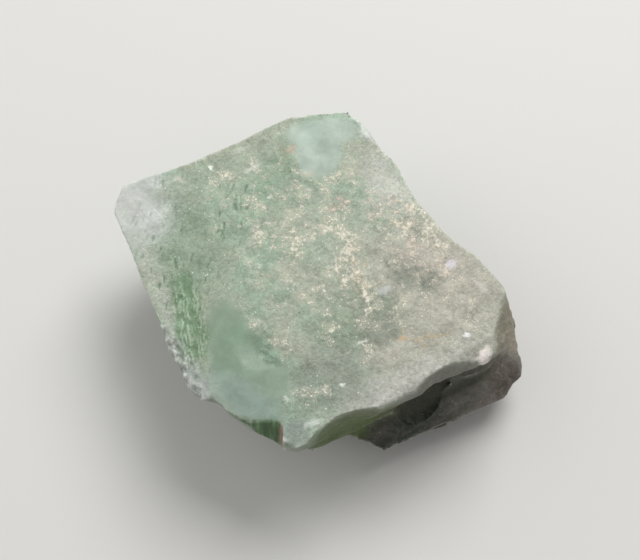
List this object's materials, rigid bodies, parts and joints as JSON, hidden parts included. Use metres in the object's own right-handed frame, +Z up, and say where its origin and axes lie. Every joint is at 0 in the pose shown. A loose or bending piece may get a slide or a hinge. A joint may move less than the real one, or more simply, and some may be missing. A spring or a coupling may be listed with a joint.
{
  "type": "heulandite crystal",
  "caption": "Rough cleaved slab of milky green translucent heulandite with worn edges and a lower shelf along one side, for display or study.",
  "frame": {"origin": "middle of the specimen's footprint box, on the surface it rests on", "axes": "+Z up from the resting surface, through the broad cleavage face; +X along the longest side of the footprint, towards the end where the lower shelf reaches furthest; -Y towards the shelf side"},
  "size_m": [0.06, 0.0501, 0.0221],
  "materials": {
    "heulandite": "milky, slightly translucent green-grey crystal with a worn satin surface, fine sugary grain and cream to white flecks"
  },
  "bodies": {
    "root": {"heulandite_crystal": "heulandite"}
  },
  "joints": []
}
